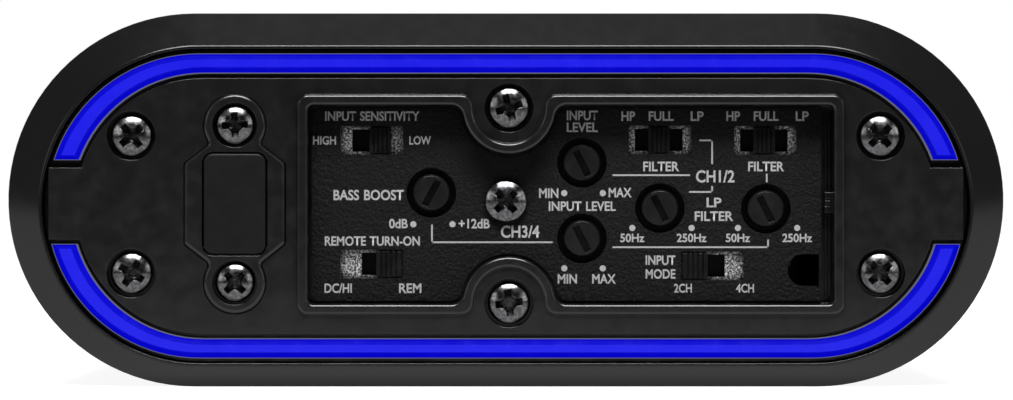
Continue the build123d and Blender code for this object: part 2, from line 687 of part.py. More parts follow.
with BuildPart() as control_board:
    with BuildSketch(end_plane("front", CONTROL_BOARD_DEPTH)):
        span_rectangle(-31.0, 51.5, 14.5, 45.5)
        corner_x, corner_z = BOARD_CORNER
        span_rectangle(corner_x, WIDTH, 0, corner_z, mode=Mode.SUBTRACT)
    extrude(amount=-BOARD_THICKNESS)
    chip_places = [(-6.0, 22.0), (3.0, 38.0), (18.0, 19.0), (33.0, 40.0), (45.0, 34.0)]
    for place in chip_places:
        with BuildSketch(end_plane("front", CONTROL_BOARD_DEPTH + BOARD_THICKNESS)):
            with Locations(place):
                Rectangle(6.2, 5.0)
        extrude(amount=-1.6)
save(control_board.part, "control_board")


# ---------------------------------------------------------------- body
body_length = LENGTH - 2 * CAP_DEPTH
cavity_floor = HEIGHT / 2 - CAVITY_R
cavity_top = HEIGHT / 2 + CAVITY_R
well_places = [(sx * WELL_X, sy * WELL_Y) for sx in (-1, 1) for sy in (-1, 1)]
base_screw_places = [(sx * BASE_SCREW_X, y) for sx in (-1, 1) for y in BASE_SCREW_Y]
groove_count = 2 * int((ARC_X - 1) / GROOVE_PITCH) + 1
side_groove_r = BODY_R - GROOVE_DEPTH / 2 + 0.5

with BuildPart() as heatsink:
    with BuildSketch(end_plane("front", CAP_DEPTH)):
        with Locations((0, HEIGHT / 2)):
            SlotCenterToCenter(WIDTH - HEIGHT, 2 * BODY_R)
            SlotCenterToCenter(WIDTH - HEIGHT, 2 * CAVITY_R, mode=Mode.SUBTRACT)
        span_rectangle(-WIDTH, WIDTH, -1, BASE_THICKNESS, mode=Mode.SUBTRACT)
        span_rectangle(-OPENING_HALF_WIDTH, OPENING_HALF_WIDTH, 0, HEIGHT / 3, mode=Mode.SUBTRACT)
        for side in (-1, 1):
            left, right = sorted((side * RAIL_X, side * (RAIL_X + RAIL_THICKNESS)))
            span_rectangle(left, right, RAIL_BOTTOM, cavity_top + 0.5)
            for rise in (-1, 1):
                with Locations((side * CORNER_X, CORNER_Z + rise * CORNER_RISE)):
                    Circle(BOSS_R)
                web = Location((side * (CORNER_X + 3.0), CORNER_Z + rise * (CORNER_RISE + 3.0), 0),
                               (0, 0, side * rise * 45))
                with Locations(web):
                    Rectangle(9.0, 4.0)
        # grooves over the top
        with Locations((0, HEIGHT / 2 + side_groove_r)):
            with GridLocations(GROOVE_PITCH, 1, groove_count, 1):
                Rectangle(GROOVE_WIDTH, GROOVE_DEPTH + 1, mode=Mode.SUBTRACT)
        # grooves round the two sides, pointing at the centres of the round ends
        for side in (-1, 1):
            for step in range(SIDE_GROOVES):
                angle = SIDE_GROOVE_START - step * SIDE_GROOVE_STEP
                x = side * (WIDTH / 2 - HEIGHT / 2 + side_groove_r * math.cos(math.radians(angle)))
                z = HEIGHT / 2 + side_groove_r * math.sin(math.radians(angle))
                with Locations(Location((x, z, 0), (0, 0, side * angle))):
                    Rectangle(GROOVE_DEPTH + 1, GROOVE_WIDTH, mode=Mode.SUBTRACT)
    extrude(amount=-body_length)
    with Locations(*[on_end("front", CAP_DEPTH, x, z) for x, z in corner_places()]):
        Hole(M4_SHANK_R + 0.05, depth=body_length)
    with Locations(*[Location((x, y, HEIGHT)) for x, y in well_places]):
        CounterBoreHole(MOUNT_HOLE_R, WELL_R, HEIGHT - cavity_floor, depth=HEIGHT)
    with Locations(*[Location((x, y, BASE_THICKNESS), (180, 0, 0)) for x, y in base_screw_places]):
        Hole(M3_SHANK_R + 0.03, depth=5.5)
    for side in (-1, 1):
        with Locations(*[Location((side * RAIL_X, y, CLAMP_Z), (0, -90 * side, 0)) for y in CLAMP_Y]):
            Hole(M3_SHANK_R + 0.03, depth=RAIL_THICKNESS)
    # the rails stop short of both ends
    for end in ("front", "rear"):
        with BuildSketch(end_plane(end, CAP_DEPTH)):
            span_rectangle(-RAIL_X - 4, RAIL_X + 4, RAIL_BOTTOM - 1, cavity_top)
        extrude(amount=-RAIL_SETBACK, mode=Mode.SUBTRACT)
save(heatsink.part, "heatsink")

with BuildPart() as mounting_sleeves:
    with BuildSketch(Plane.XY.offset(cavity_floor)):
        with Locations(*well_places):
            Circle(WELL_R - 0.02)
    extrude(amount=SLEEVE_TOP - cavity_floor)
    with BuildSketch(Plane.XY.offset(cavity_floor + WELL_FLOOR)):
        with Locations(*well_places):
            Circle(WELL_BORE_R)
    extrude(amount=HEIGHT, mode=Mode.SUBTRACT)
    with BuildSketch(Plane.XY):
        with Locations(*well_places):
            Circle(MOUNT_HOLE_R)
    extrude(amount=HEIGHT / 2, mode=Mode.SUBTRACT)
save(mounting_sleeves.part, "mounting_sleeves")

with BuildPart() as base_plate:
    with BuildSketch(Plane.XY):
        Rectangle(2 * BASE_HALF_WIDTH, body_length)
    extrude(amount=BASE_THICKNESS)
    with Locations(*[Location((x, y, 0), (180, 0, 0)) for x, y in well_places]):
        Hole(MOUNT_HOLE_R, depth=BASE_THICKNESS)
    with Locations(*[Location((x, y, 0), (180, 0, 0)) for x, y in base_screw_places]):
        CounterSinkHole(M3_HOLE_R, BASE_SCREW_HEAD_R + 0.1, depth=BASE_THICKNESS)
save(base_plate.part, "base_plate")

with BuildPart() as flat_screw:
    with BuildSketch(Plane.XZ):
        with BuildLine():
            Polyline((0, 0), (BASE_SCREW_HEAD_R, 0), (M3_SHANK_R, M3_SHANK_R - BASE_SCREW_HEAD_R),
                     (M3_SHANK_R, -6.5), (0, -6.5), close=True)
        make_face()
    revolve(axis=Axis.Z)
    with BuildSketch():
        Rectangle(3.2, 0.8)
        Rectangle(0.8, 3.2)
    extrude(amount=-1.0, taper=10, mode=Mode.SUBTRACT)
places = [Location((x, y, 0.1), (180, 0, 0)) for x, y in base_screw_places]
save(copies(flat_screw.part, places), "base_screws")


# ---------------------------------------------------------------- inside the body
standoff_places = [(sx * STANDOFF_X, y) for sx in (-1, 1) for y in STANDOFF_Y]

with BuildPart() as main_board:
    with BuildSketch(Plane.XY.offset(BOARD_BOTTOM)):
        Rectangle(2 * BOARD_HALF_WIDTH, 2 * BOARD_HALF_LENGTH)
        with Locations(*standoff_places):
            Circle(M3_HOLE_R, mode=Mode.SUBTRACT)
    extrude(amount=BOARD_THICKNESS)
save(main_board.part, "main_board")

with BuildPart() as board_standoffs:
    with BuildSketch(Plane.XY.offset(BASE_THICKNESS)):
        with Locations(*standoff_places):
            RegularPolygon(3.2, 6)
            Circle(M3_SHANK_R + 0.03, mode=Mode.SUBTRACT)
    extrude(amount=BOARD_BOTTOM - BASE_THICKNESS)
save(board_standoffs.part, "board_standoffs")

board_screw = pan_head_screw(2.75, 1.8, M3_SHANK_R, 7.5)
save(copies(board_screw, [Location((x, y, BOARD_TOP)) for x, y in standoff_places]), "board_screws")


def ring_core(outer_r, inner_r, height):
    """Ferrite ring lying flat, with its middle at the origin."""
    with BuildPart() as ring:
        with BuildSketch(Plane.XY.offset(-height / 2)):
            Circle(outer_r)
            Circle(inner_r, mode=Mode.SUBTRACT)
        extrude(amount=height)
        fillet(ring.edges().filter_by(GeomType.CIRCLE), radius=0.8)
    return ring.part


def half_windings(outer_r, inner_r, height, wire):
    """Two layers of wire, each round one half of a ring core and open at both ends."""
    with BuildPart() as windings:
        for start in (0, 180):
            with BuildSketch(Plane.XZ.rotated((0, 0, start))):
                with Locations(((outer_r + inner_r) / 2, 0)):
                    RectangleRounded(outer_r - inner_r + 2 * wire, height + 2 * wire, wire * 0.8)
                    Rectangle(outer_r - inner_r + 0.1, height + 0.1, mode=Mode.SUBTRACT)
            revolve(axis=Axis.Z, revolution_arc=160)
    return windings.part


toroid_level = BOARD_TOP + TOROID_WIRE + 0.1 + TOROID_CORE[2] / 2
toroid_place = Location((TOROID_PLACE[0], TOROID_PLACE[1], toroid_level))
save(copies(ring_core(*TOROID_CORE), [toroid_place]), "toroid_core")
save(copies(half_windings(*TOROID_CORE, TOROID_WIRE), [toroid_place]), "toroid_winding")

coil_level = BOARD_TOP + COIL_WIRE + 0.1 + COIL_CORE[2] / 2
coil_places = [Location((x, y, coil_level)) for x, y in COIL_PLACES]
save(copies(ring_core(*COIL_CORE), coil_places), "inductor_cores")
save(copies(half_windings(*COIL_CORE, COIL_WIRE), coil_places), "inductor_windings")

with BuildPart() as capacitor:
    with BuildSketch():
        Circle(CAPACITOR_R)
    extrude(amount=CAPACITOR_HEIGHT)
    fillet(edges().group_by(Axis.Z)[-1], radius=0.9)
    with BuildSketch(Plane.XZ):
        with Locations((CAPACITOR_R, 3.2)):
            Circle(0.5)
    revolve(axis=Axis.Z, mode=Mode.SUBTRACT)
    with BuildSketch(Plane.XY.offset(CAPACITOR_HEIGHT)):
        Rectangle(CAPACITOR_R, 0.5)
        Rectangle(0.5, CAPACITOR_R)
    extrude(amount=-0.3, mode=Mode.SUBTRACT)
save(copies(capacitor.part, [Location((x, y, BOARD_TOP)) for x, y in CAPACITOR_PLACES]),
     "filter_capacitors")

# transistors stand on the board with their backs against the heatsink's rails
with BuildPart() as output_transistors:
    for side in (-1, 1):
        for y in TRANSISTOR_Y:
            with BuildSketch(Plane.XY.offset(RAIL_BOTTOM + 2)):
                with Locations((side * (RAIL_X - TRANSISTOR_DEPTH / 2), y)):
                    Rectangle(TRANSISTOR_DEPTH, 10.2)
            extrude(amount=9.2)
            with BuildSketch(Plane.XY.offset(RAIL_BOTTOM + 2)):
                with Locations((side * (RAIL_X - 0.65), y)):
                    Rectangle(1.3, 10.2)
            extrude(amount=15.0)
            with BuildSketch(Plane.XY.offset(BOARD_TOP)):
                with Locations((side * (RAIL_X - 2.6), y)):
                    with GridLocations(1, 2.54, 1, 3):
                        Rectangle(0.5, 0.9)
            extrude(amount=RAIL_BOTTOM + 2 - BOARD_TOP)
save(output_transistors.part, "output_transistors")

bar_x = RAIL_X - TRANSISTOR_DEPTH
with BuildPart() as clamp_bars:
    for side in (-1, 1):
        with BuildSketch(Plane.XY.offset(CLAMP_Z - 3)):
            with Locations((side * (bar_x - CLAMP_BAR / 2), 0)):
                Rectangle(CLAMP_BAR, TRANSISTOR_Y[-1] - TRANSISTOR_Y[0] + 12)
        extrude(amount=6.0)
        with Locations(*[Location((side * (bar_x - CLAMP_BAR), y, CLAMP_Z), (0, -90 * side, 0))
                         for y in CLAMP_Y]):
            Hole(M3_HOLE_R, depth=CLAMP_BAR)
save(clamp_bars.part, "clamp_bars")

clamp_screw = pan_head_screw(2.75, 1.8, M3_SHANK_R, CLAMP_BAR + TRANSISTOR_DEPTH + 2.5)
places = [Location((side * (bar_x - CLAMP_BAR), y, CLAMP_Z), (0, -90 * side, 0))
          for side in (-1, 1) for y in CLAMP_Y]
save(copies(clamp_screw, places), "clamp_screws")


# ---------------------------------------------------------------- connection end
rear_blank = face_blank("rear", BOXES["rear"], PAN_FLOOR["rear"])
with BuildPart() as rear_face_plate:
    add(rear_blank)
    with Locations(on_end("rear", PAN_FLOOR["rear"], *PANEL_SCREW)):
        Hole(M3_HOLE_R, depth=PAN_WALL)
save(rear_face_plate.part, "rear_face_plate")

rear_outline = recess_outline(BOXES["rear"], NOTCH_R + 0.4, -0.4, 0.6)
with BuildPart() as connection_plate:
    with BuildSketch(end_plane("rear", PAN_FLOOR["rear"])):
        add(rear_outline)
        with Locations(PANEL_SCREW):
            Circle(M3_HOLE_R, mode=Mode.SUBTRACT)
    extrude(amount=PANEL_THICKNESS)
save(connection_plate.part, "connection_plate")
short_screw = pan_head_screw(2.75, 1.8, M3_SHANK_R, 2.9)
save(copies(short_screw, [on_end("rear", BAY_FLOOR, *PANEL_SCREW, 20.0)]), "connection_plate_screw")

with BuildPart() as rca_block:
    with BuildSketch(end_plane("rear", BAY_FLOOR)):
        with Locations((sum(RCA_X) / 4, RCA_Z)):
            Rectangle(RCA_X[-1] - RCA_X[0] + 10.4, 11.4)
    extrude(amount=BAY_FLOOR - RCA_SEAT)
    fillet(edges().filter_by(Axis.Y), radius=1.0)
save(rca_block.part, "rca_block")

with BuildPart() as rca_shells:
    with BuildSketch(end_plane("rear", RCA_SEAT)):
        with Locations(*[(x, RCA_Z) for x in RCA_X]):
            Circle(RCA_R)
            Circle(RCA_R - 0.6, mode=Mode.SUBTRACT)
    extrude(amount=RCA_SEAT - RCA_FRONT)
save(rca_shells.part, "rca_shells")

with BuildPart() as rca_centres:
    with BuildSketch(end_plane("rear", RCA_SEAT)):
        with Locations(*[(x, RCA_Z) for x in RCA_X]):
            Circle(RCA_R - 0.62)
    extrude(amount=RCA_SEAT - RCA_FRONT - 0.8)
    with Locations(*[on_end("rear", RCA_FRONT + 0.8, x, RCA_Z) for x in RCA_X]):
        Hole(1.65, depth=7.0)
save(rca_centres.part, "rca_centres")

block_width, block_height, block_z = POWER_BLOCK
with BuildPart() as power_terminal_block:
    with BuildSketch(end_plane("rear", BAY_FLOOR)):
        with Locations((POWER_X[1], block_z)):
            Rectangle(block_width, block_height)
    extrude(amount=BAY_FLOOR - TERMINAL_FRONT)
    chamfer(edges().filter_by(Axis.X).group_by(Axis.Y)[-1], length=0.8)
    for x in POWER_X:
        with BuildSketch(end_plane("rear", TERMINAL_FRONT)):
            with Locations((x, POWER_ENTRY_Z)):
                RectangleRounded(POWER_ENTRY, POWER_ENTRY, 0.6)
        extrude(amount=-POWER_ENTRY_DEPTH, mode=Mode.SUBTRACT)
        with Locations(on_end("rear", TERMINAL_FRONT, x, POWER_SCREW_Z)):
            CounterBoreHole(2.0, 3.1, 3.0, depth=6.0)
save(power_terminal_block.part, "power_terminal_block")
power_screw = slotted_screw(3.0, 2.2, 1.95, 2.5)
save(copies(power_screw, [on_end("rear", TERMINAL_FRONT + 3.0, x, POWER_SCREW_Z, 25 + 40 * n)
                          for n, x in enumerate(POWER_X)]), "power_terminal_screws")

SPEAKER_X = [SPEAKER_X0 + SPEAKER_PITCH * n for n in range(8)]
with BuildPart() as speaker_terminal_block:
    with BuildSketch(end_plane("rear", BAY_FLOOR)):
        with Locations(((SPEAKER_X[0] + SPEAKER_X[-1]) / 2, block_z)):
            Rectangle(8 * SPEAKER_PITCH, block_height)
    extrude(amount=BAY_FLOOR - TERMINAL_FRONT)
    chamfer(edges().filter_by(Axis.X).group_by(Axis.Y)[-1], length=0.8)
    with BuildSketch(end_plane("rear", TERMINAL_FRONT)):
        with Locations(*[(x, POWER_ENTRY_Z) for x in SPEAKER_X]):
            RectangleRounded(3.6, 3.6, 0.5)
    extrude(amount=-POWER_ENTRY_DEPTH, mode=Mode.SUBTRACT)
    with Locations(*[on_end("rear", TERMINAL_FRONT, x, POWER_SCREW_Z) for x in SPEAKER_X]):
        CounterBoreHole(1.3, 2.2, 2.4, depth=5.5)
save(speaker_terminal_block.part, "speaker_terminal_block")
speaker_screw = slotted_screw(2.1, 1.6, 1.25, 2.8)
save(copies(speaker_screw, [on_end("rear", TERMINAL_FRONT + 2.4, x, POWER_SCREW_Z, 17 * n)
                            for n, x in enumerate(SPEAKER_X)]), "speaker_terminal_screws")

fuse_width, fuse_height = FUSE_BODY
with BuildPart() as fuse_holder:
    with BuildSketch(end_plane("rear", BAY_FLOOR)):
        with Locations((sum(FUSE_X) / 2, FUSE_Z)):
            Rectangle(FUSE_X[1] - FUSE_X[0] + fuse_width + 2.6, fuse_height + 4.2)
    extrude(amount=BAY_FLOOR - FUSE_HOLDER_FRONT)
    for x in FUSE_X:
        with BuildSketch(end_plane("rear", FUSE_HOLDER_FRONT)):
            with Locations((x, FUSE_Z)):
                Rectangle(fuse_width + 0.6, fuse_height + 0.6)
        extrude(amount=-1.5, mode=Mode.SUBTRACT)
        with BuildSketch(end_plane("rear", FUSE_HOLDER_FRONT)):
            with Locations((x - 6.5, FUSE_Z), (x + 6.5, FUSE_Z)):
                Rectangle(5.8, 1.3)
        extrude(amount=FUSE_HOLDER_FRONT - BAY_FLOOR, mode=Mode.SUBTRACT)
save(fuse_holder.part, "fuse_holder")

for number, x in enumerate(FUSE_X, start=1):
    with BuildPart() as fuse:
        with BuildSketch(end_plane("rear", FUSE_HOLDER_FRONT + 1.2)):
            with Locations((x, FUSE_Z)):
                Rectangle(fuse_width, fuse_height)
        extrude(amount=FUSE_HOLDER_FRONT + 1.2 - FUSE_FRONT)
        fillet(edges().filter_by(Axis.Y), radius=0.6)
        # finger grooves in both broad sides
        with BuildSketch(end_plane("rear", FUSE_FRONT + 3.6)):
            with Locations((x, FUSE_Z + fuse_height / 2), (x, FUSE_Z - fuse_height / 2)):
                Rectangle(fuse_width - 5.0, 1.4)
        extrude(amount=2.0, mode=Mode.SUBTRACT)
        with BuildSketch(end_plane("rear", FUSE_HOLDER_FRONT + 1.2)):
            with Locations((x - 6.5, FUSE_Z), (x + 6.5, FUSE_Z)):
                Rectangle(5.2, 0.7)
        extrude(amount=-3.6)
    save(fuse.part, f"fuse_{number}")
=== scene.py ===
"""Looks for a compact four-channel car amplifier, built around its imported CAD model.

Everything is in metres in the CAD frame: X across, Y along the length with the controls
at -Y, Z up. CAD pieces keep their shapes and get procedural materials here; the printed
legends of the control panel, with their rules and dots, are made in this script.
"""

import json
import math

import bpy
from mathutils import Matrix, Vector


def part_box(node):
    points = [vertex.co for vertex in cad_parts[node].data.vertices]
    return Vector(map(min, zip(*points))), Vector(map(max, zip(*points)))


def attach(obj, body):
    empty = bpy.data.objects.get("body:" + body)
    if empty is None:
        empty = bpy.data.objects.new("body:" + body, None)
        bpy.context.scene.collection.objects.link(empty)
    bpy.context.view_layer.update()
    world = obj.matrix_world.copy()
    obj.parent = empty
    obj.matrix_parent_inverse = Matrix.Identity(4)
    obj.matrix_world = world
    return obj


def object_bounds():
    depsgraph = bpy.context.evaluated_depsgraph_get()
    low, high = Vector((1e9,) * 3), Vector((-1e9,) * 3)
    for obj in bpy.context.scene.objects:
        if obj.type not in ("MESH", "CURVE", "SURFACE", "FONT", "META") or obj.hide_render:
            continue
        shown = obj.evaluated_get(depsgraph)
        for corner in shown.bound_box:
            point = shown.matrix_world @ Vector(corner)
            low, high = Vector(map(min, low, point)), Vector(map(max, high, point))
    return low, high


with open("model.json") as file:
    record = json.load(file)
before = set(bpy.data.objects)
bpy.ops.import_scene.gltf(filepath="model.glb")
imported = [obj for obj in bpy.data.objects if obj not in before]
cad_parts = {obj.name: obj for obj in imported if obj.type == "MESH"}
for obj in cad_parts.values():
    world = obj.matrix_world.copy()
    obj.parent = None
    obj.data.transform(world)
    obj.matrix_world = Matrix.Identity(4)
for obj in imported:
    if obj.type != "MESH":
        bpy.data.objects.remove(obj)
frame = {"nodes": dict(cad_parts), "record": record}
cad_low, cad_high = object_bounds()
nodes = frame["nodes"]
MM = 0.001
FRONT = cad_low.y
REAR = cad_high.y


# ---------------------------------------------------------------- materials
class Shader:
    """A Principled material with short helpers for its texture nodes."""

    def __init__(self, name, colour, roughness, metallic=0.0, specular=0.5):
        self.material = bpy.data.materials.new(name)
        self.material.use_nodes = True
        self.tree = self.material.node_tree
        self.surface = self.tree.nodes["Principled BSDF"]
        self.surface.inputs["Base Color"].default_value = (*colour, 1.0)
        self.surface.inputs["Roughness"].default_value = roughness
        self.surface.inputs["Metallic"].default_value = metallic
        self.surface.inputs["Specular IOR Level"].default_value = specular
        self.place = self.node("ShaderNodeTexCoord").outputs["Object"]
        self.height = None

    def node(self, kind, **settings):
        made = self.tree.nodes.new(kind)
        for key, value in settings.items():
            setattr(made, key, value)
        return made

    def link(self, source, target):
        self.tree.links.new(source, target)

    def noise(self, size_mm, detail=3.0, stretch=(1, 1, 1), roughness=0.5):
        """Noise whose features are about size_mm across, stretched along an axis."""
        scale = self.node("ShaderNodeMapping")
        scale.inputs["Scale"].default_value = [1.0 / s for s in stretch]
        self.link(self.place, scale.inputs["Vector"])
        made = self.node("ShaderNodeTexNoise")
        made.inputs["Scale"].default_value = 1.0 / (size_mm * MM)
        made.inputs["Detail"].default_value = detail
        made.inputs["Roughness"].default_value = roughness
        self.link(scale.outputs["Vector"], made.inputs["Vector"])
        return made.outputs["Fac"]

    def cells(self, size_mm, smooth=0.6):
        """Smoothed cells about size_mm across."""
        made = self.node("ShaderNodeTexVoronoi", feature="SMOOTH_F1")
        made.inputs["Scale"].default_value = 1.0 / (size_mm * MM)
        made.inputs["Smoothness"].default_value = smooth
        self.link(self.place, made.inputs["Vector"])
        return made.outputs["Distance"]

    def ramp(self, source, low, high, at_low, at_high):
        """A value that runs from at_low to at_high as the source runs from low to high."""
        made = self.node("ShaderNodeMapRange")
        made.inputs["From Min"].default_value = low
        made.inputs["From Max"].default_value = high
        made.inputs["To Min"].default_value = at_low
        made.inputs["To Max"].default_value = at_high
        self.link(source, made.inputs["Value"])
        return made.outputs["Result"]

    def blend_colour(self, factor, first, second):
        """A colour between two others."""
        made = self.node("ShaderNodeMix", data_type="RGBA")
        made.inputs["A"].default_value = (*first, 1.0)
        made.inputs["B"].default_value = (*second, 1.0)
        self.link(factor, made.inputs["Factor"])
        return made.outputs["Result"]

    def axis(self, letter):
        """One coordinate of the place on the object, in metres."""
        made = self.node("ShaderNodeSeparateXYZ")
        self.link(self.place, made.inputs["Vector"])
        return made.outputs[letter]

    def colour(self, source):
        self.link(source, self.surface.inputs["Base Color"])

    def rough(self, source, low, high):
        """Roughness that wanders between two values with a texture."""
        self.link(self.ramp(source, 0.3, 0.7, low, high), self.surface.inputs["Roughness"])

    def bump(self, source, depth_mm, strength=1.0, edge_mm=0.0):
        """Surface relief of about depth_mm, on top of any relief already there."""
        made = self.node("ShaderNodeBump")
        made.inputs["Distance"].default_value = depth_mm * MM
        made.inputs["Strength"].default_value = strength
        self.link(source, made.inputs["Height"])
        if self.height is not None:
            self.link(self.height, made.inputs["Normal"])
        elif edge_mm:
            edge = self.node("ShaderNodeBevel", samples=6)
            edge.inputs["Radius"].default_value = edge_mm * MM
            self.link(edge.outputs["Normal"], made.inputs["Normal"])
        self.height = made.outputs["Normal"]
        self.link(self.height, self.surface.inputs["Normal"])

    def paint_cavity_shade(self, reach_mm, darkest=0.1, closed=0.35, open_=0.9):
        """Paint shade into the base colour in narrow gaps and recesses, darker where ambient occlusion finds
        nearby surfaces.
        """
        shade = self.node("ShaderNodeAmbientOcclusion", samples=6)
        shade.inputs["Distance"].default_value = reach_mm * MM
        level = self.ramp(shade.outputs["AO"], closed, open_, darkest, 1.0)
        made = self.node("ShaderNodeMix", data_type="RGBA", blend_type="MULTIPLY")
        made.inputs["Factor"].default_value = 1.0
        socket = self.surface.inputs["Base Color"]
        if socket.links:
            self.link(socket.links[0].from_socket, made.inputs["A"])
        else:
            made.inputs["A"].default_value = socket.default_value
        self.link(level, made.inputs["B"])
        self.link(made.outputs["Result"], socket)


def moulded_plastic(name, tone, roughness, grain_mm, relief_mm, edge_mm=0.15, specular=0.5, wander=0.06):
    """Black moulded plastic with a fine spark-eroded grain and slow tone changes."""
    shader = Shader(name, (tone, tone, tone * 1.05), roughness, specular=specular)
    slow = shader.noise(14.0, detail=4.0)
    shader.colour(shader.blend_colour(slow, (tone * 0.85,) * 3, (tone * 1.2, tone * 1.2, tone * 1.26)))
    shader.rough(shader.noise(2.5, detail=6.0), roughness - wander, roughness + wander)
    shader.bump(shader.noise(grain_mm, detail=2.0), relief_mm, 0.35, edge_mm)
    return shader


def rim_material():
    shader = moulded_plastic("rim_plastic", 0.0020, 0.19, 0.22, 0.006, 0.20, specular=0.19, wander=0.02)
    # painted shade: the rim's colour darkens in its groove and recesses with ambient occlusion
    shader.paint_cavity_shade(2.0, 0.2)
    return shader.material


def plastic_with_painted_shade(name, tone, roughness, edge_mm, specular=0.2):
    """Black moulded plastic with painted shade in its slots and grooves, where its colour darkens with ambient
    occlusion.
    """
    shader = moulded_plastic(name, tone, roughness, 0.25, 0.02, edge_mm, specular=specular)
    # painted shade in slots and grooves
    shader.paint_cavity_shade(2.0, 0.1)
    return shader.material


def face_material():
    shader = moulded_plastic("face_plastic", 0.0030, 0.20, 0.25, 0.012, 0.12, specular=0.28)
    # painted shade: the face darkens in its recesses and channels with ambient occlusion
    shader.paint_cavity_shade(3.0, 0.1)
    return shader.material


def panel_material():
    """Grained panel: small pebbles broken up by finer noise."""
    shader = Shader("panel_texture", (0.002, 0.002, 0.0021), 0.34, specular=0.05)
    pebbles = shader.cells(0.62, smooth=0.8)
    fine = shader.noise(0.32, detail=4.0, roughness=0.6)
    shader.colour(shader.blend_colour(fine, (0.0005, 0.0005, 0.0006), (0.0036, 0.0036, 0.0038)))
    shader.rough(fine, 0.30, 0.50)
    shader.bump(pebbles, 0.16, 0.7, 0.1)
    shader.bump(fine, 0.24, 1.0)
    # painted shade: the panel darkens near the recess walls and around holes with ambient occlusion
    shader.paint_cavity_shade(1.5, 0.1)
    return shader.material


# painted light and shade on the bar's glow: a lighter crown, darker bevels, and a pale painted highlight along its
# foot
LIT_CROWN_BLUE = (0.0105, 0.0105, 0.73)
SHADED_BEVEL_BLUE = (0.0004, 0.0002, 0.52)
FOOT_HIGHLIGHT_PAINT = (0.13, 0.13, 0.17)
CROWN_DEPTHS = (1.10 * MM, 1.04 * MM)      # where bevel turns to crown, from the end of the body
FOOT_DEPTHS = (1.86 * MM, 1.92 * MM)       # where bevel turns to the painted highlight along its foot
GLOW = 0.95


def light_material():
    """Blue acrylic bar whose glow is painted lighter on its flat crown as light and deeper on its bevels as shade,
    with a painted highlight line along its foot.
    """
    shader = Shader("blue_light", (0.001, 0.001, 0.03), 0.20, specular=0.12)
    along = shader.node("ShaderNodeMath", operation="ABSOLUTE")
    shader.link(shader.axis("Y"), along.inputs[0])
    reach = along.outputs["Value"]
    crown = shader.ramp(reach, *[REAR - depth for depth in CROWN_DEPTHS], 0.0, 1.0)
    foot = shader.ramp(reach, *[REAR - depth for depth in FOOT_DEPTHS], 0.0, 1.0)
    haze = shader.noise(6.0, detail=2.0)
    bevel = shader.blend_colour(haze, SHADED_BEVEL_BLUE, [c * 1.15 for c in SHADED_BEVEL_BLUE])
    top = shader.blend_colour(haze, LIT_CROWN_BLUE, [c * 1.12 for c in LIT_CROWN_BLUE])
    # painted light and shade: the flat crown glows lighter than the bevels
    body = shader.node("ShaderNodeMix", data_type="RGBA")
    shader.link(crown, body.inputs["Factor"])
    shader.link(bevel, body.inputs["A"])
    shader.link(top, body.inputs["B"])
    # painted highlight: a pale line along the foot of the bar
    edged = shader.node("ShaderNodeMix", data_type="RGBA")
    shader.link(foot, edged.inputs["Factor"])
    shader.link(body.outputs["Result"], edged.inputs["A"])
    edged.inputs["B"].default_value = (*FOOT_HIGHLIGHT_PAINT, 1.0)
    shader.link(edged.outputs["Result"], shader.surface.inputs["Emission Color"])
    shader.surface.inputs["Emission Strength"].default_value = GLOW
    shader.rough(shader.noise(3.0, detail=3.0), 0.20, 0.30)
    shader.bump(shader.noise(4.0, detail=1.0), 0.01, 0.2)
    return shader.material


def screw_material():
    """Black zinc plate: dark metal with small bright scuffs where a driver has been."""
    shader = Shader("black_screw", (0.085, 0.085, 0.087), 0.16, metallic=1.0)
    scuffs = shader.noise(0.5, detail=6.0, roughness=0.7)
    mask = shader.ramp(scuffs, 0.42, 0.66, 0.0, 1.0)
    shader.colour(shader.blend_colour(mask, (0.045, 0.045, 0.047), (0.13, 0.13, 0.133)))
    shader.rough(shader.noise(0.8, detail=4.0), 0.10, 0.24)
    shader.bump(shader.noise(0.35, detail=4.0), 0.012, 0.5, 0.12)
    # painted shade: the head darkens in its counterbore and cross recess with ambient occlusion
    shader.paint_cavity_shade(1.2, 0.05, 0.55, 0.85)
    return shader.material


def anodised_material():
    """Black anodised extrusion with faint die lines along its length."""
    shader = Shader("heatsink", (0.018, 0.018, 0.020), 0.42, metallic=0.55)
    lines = shader.noise(0.5, detail=3.0, stretch=(1, 400, 1))
    shader.colour(shader.blend_colour(lines, (0.013, 0.013, 0.014), (0.026, 0.026, 0.028)))
    shader.rough(shader.noise(6.0, detail=5.0), 0.36, 0.50)
    shader.bump(lines, 0.02, 0.35, 0.2)
    return shader.material


def powder_coat_material():
    shader = Shader("base_steel", (0.014, 0.014, 0.015), 0.55)
    shader.colour(shader.blend_colour(shader.noise(9.0), (0.011, 0.011, 0.012), (0.019, 0.019, 0.020)))
    shader.rough(shader.noise(1.5, detail=4.0), 0.48, 0.62)
    shader.bump(shader.noise(0.45, detail=2.0), 0.04, 0.5, 0.15)
    return shader.material


def tin_material():
    """Tin-plated sheet with a mottled, slightly frosted surface."""
    shader = Shader("tin", (0.42, 0.42, 0.41), 0.42, metallic=0.95)
    mottle = shader.noise(0.35, detail=5.0, roughness=0.7)
    patches = shader.ramp(mottle, 0.46, 0.62, 0.0, 1.0)
    shader.colour(shader.blend_colour(patches, (0.03, 0.03, 0.03), (0.62, 0.62, 0.61)))
    shader.rough(mottle, 0.20, 0.50)
    shader.bump(mottle, 0.06, 0.8)
    # painted shade: the sheet darkens near the window's walls with ambient occlusion
    shader.paint_cavity_shade(1.6, 0.1, 0.3, 0.85)
    return shader.material


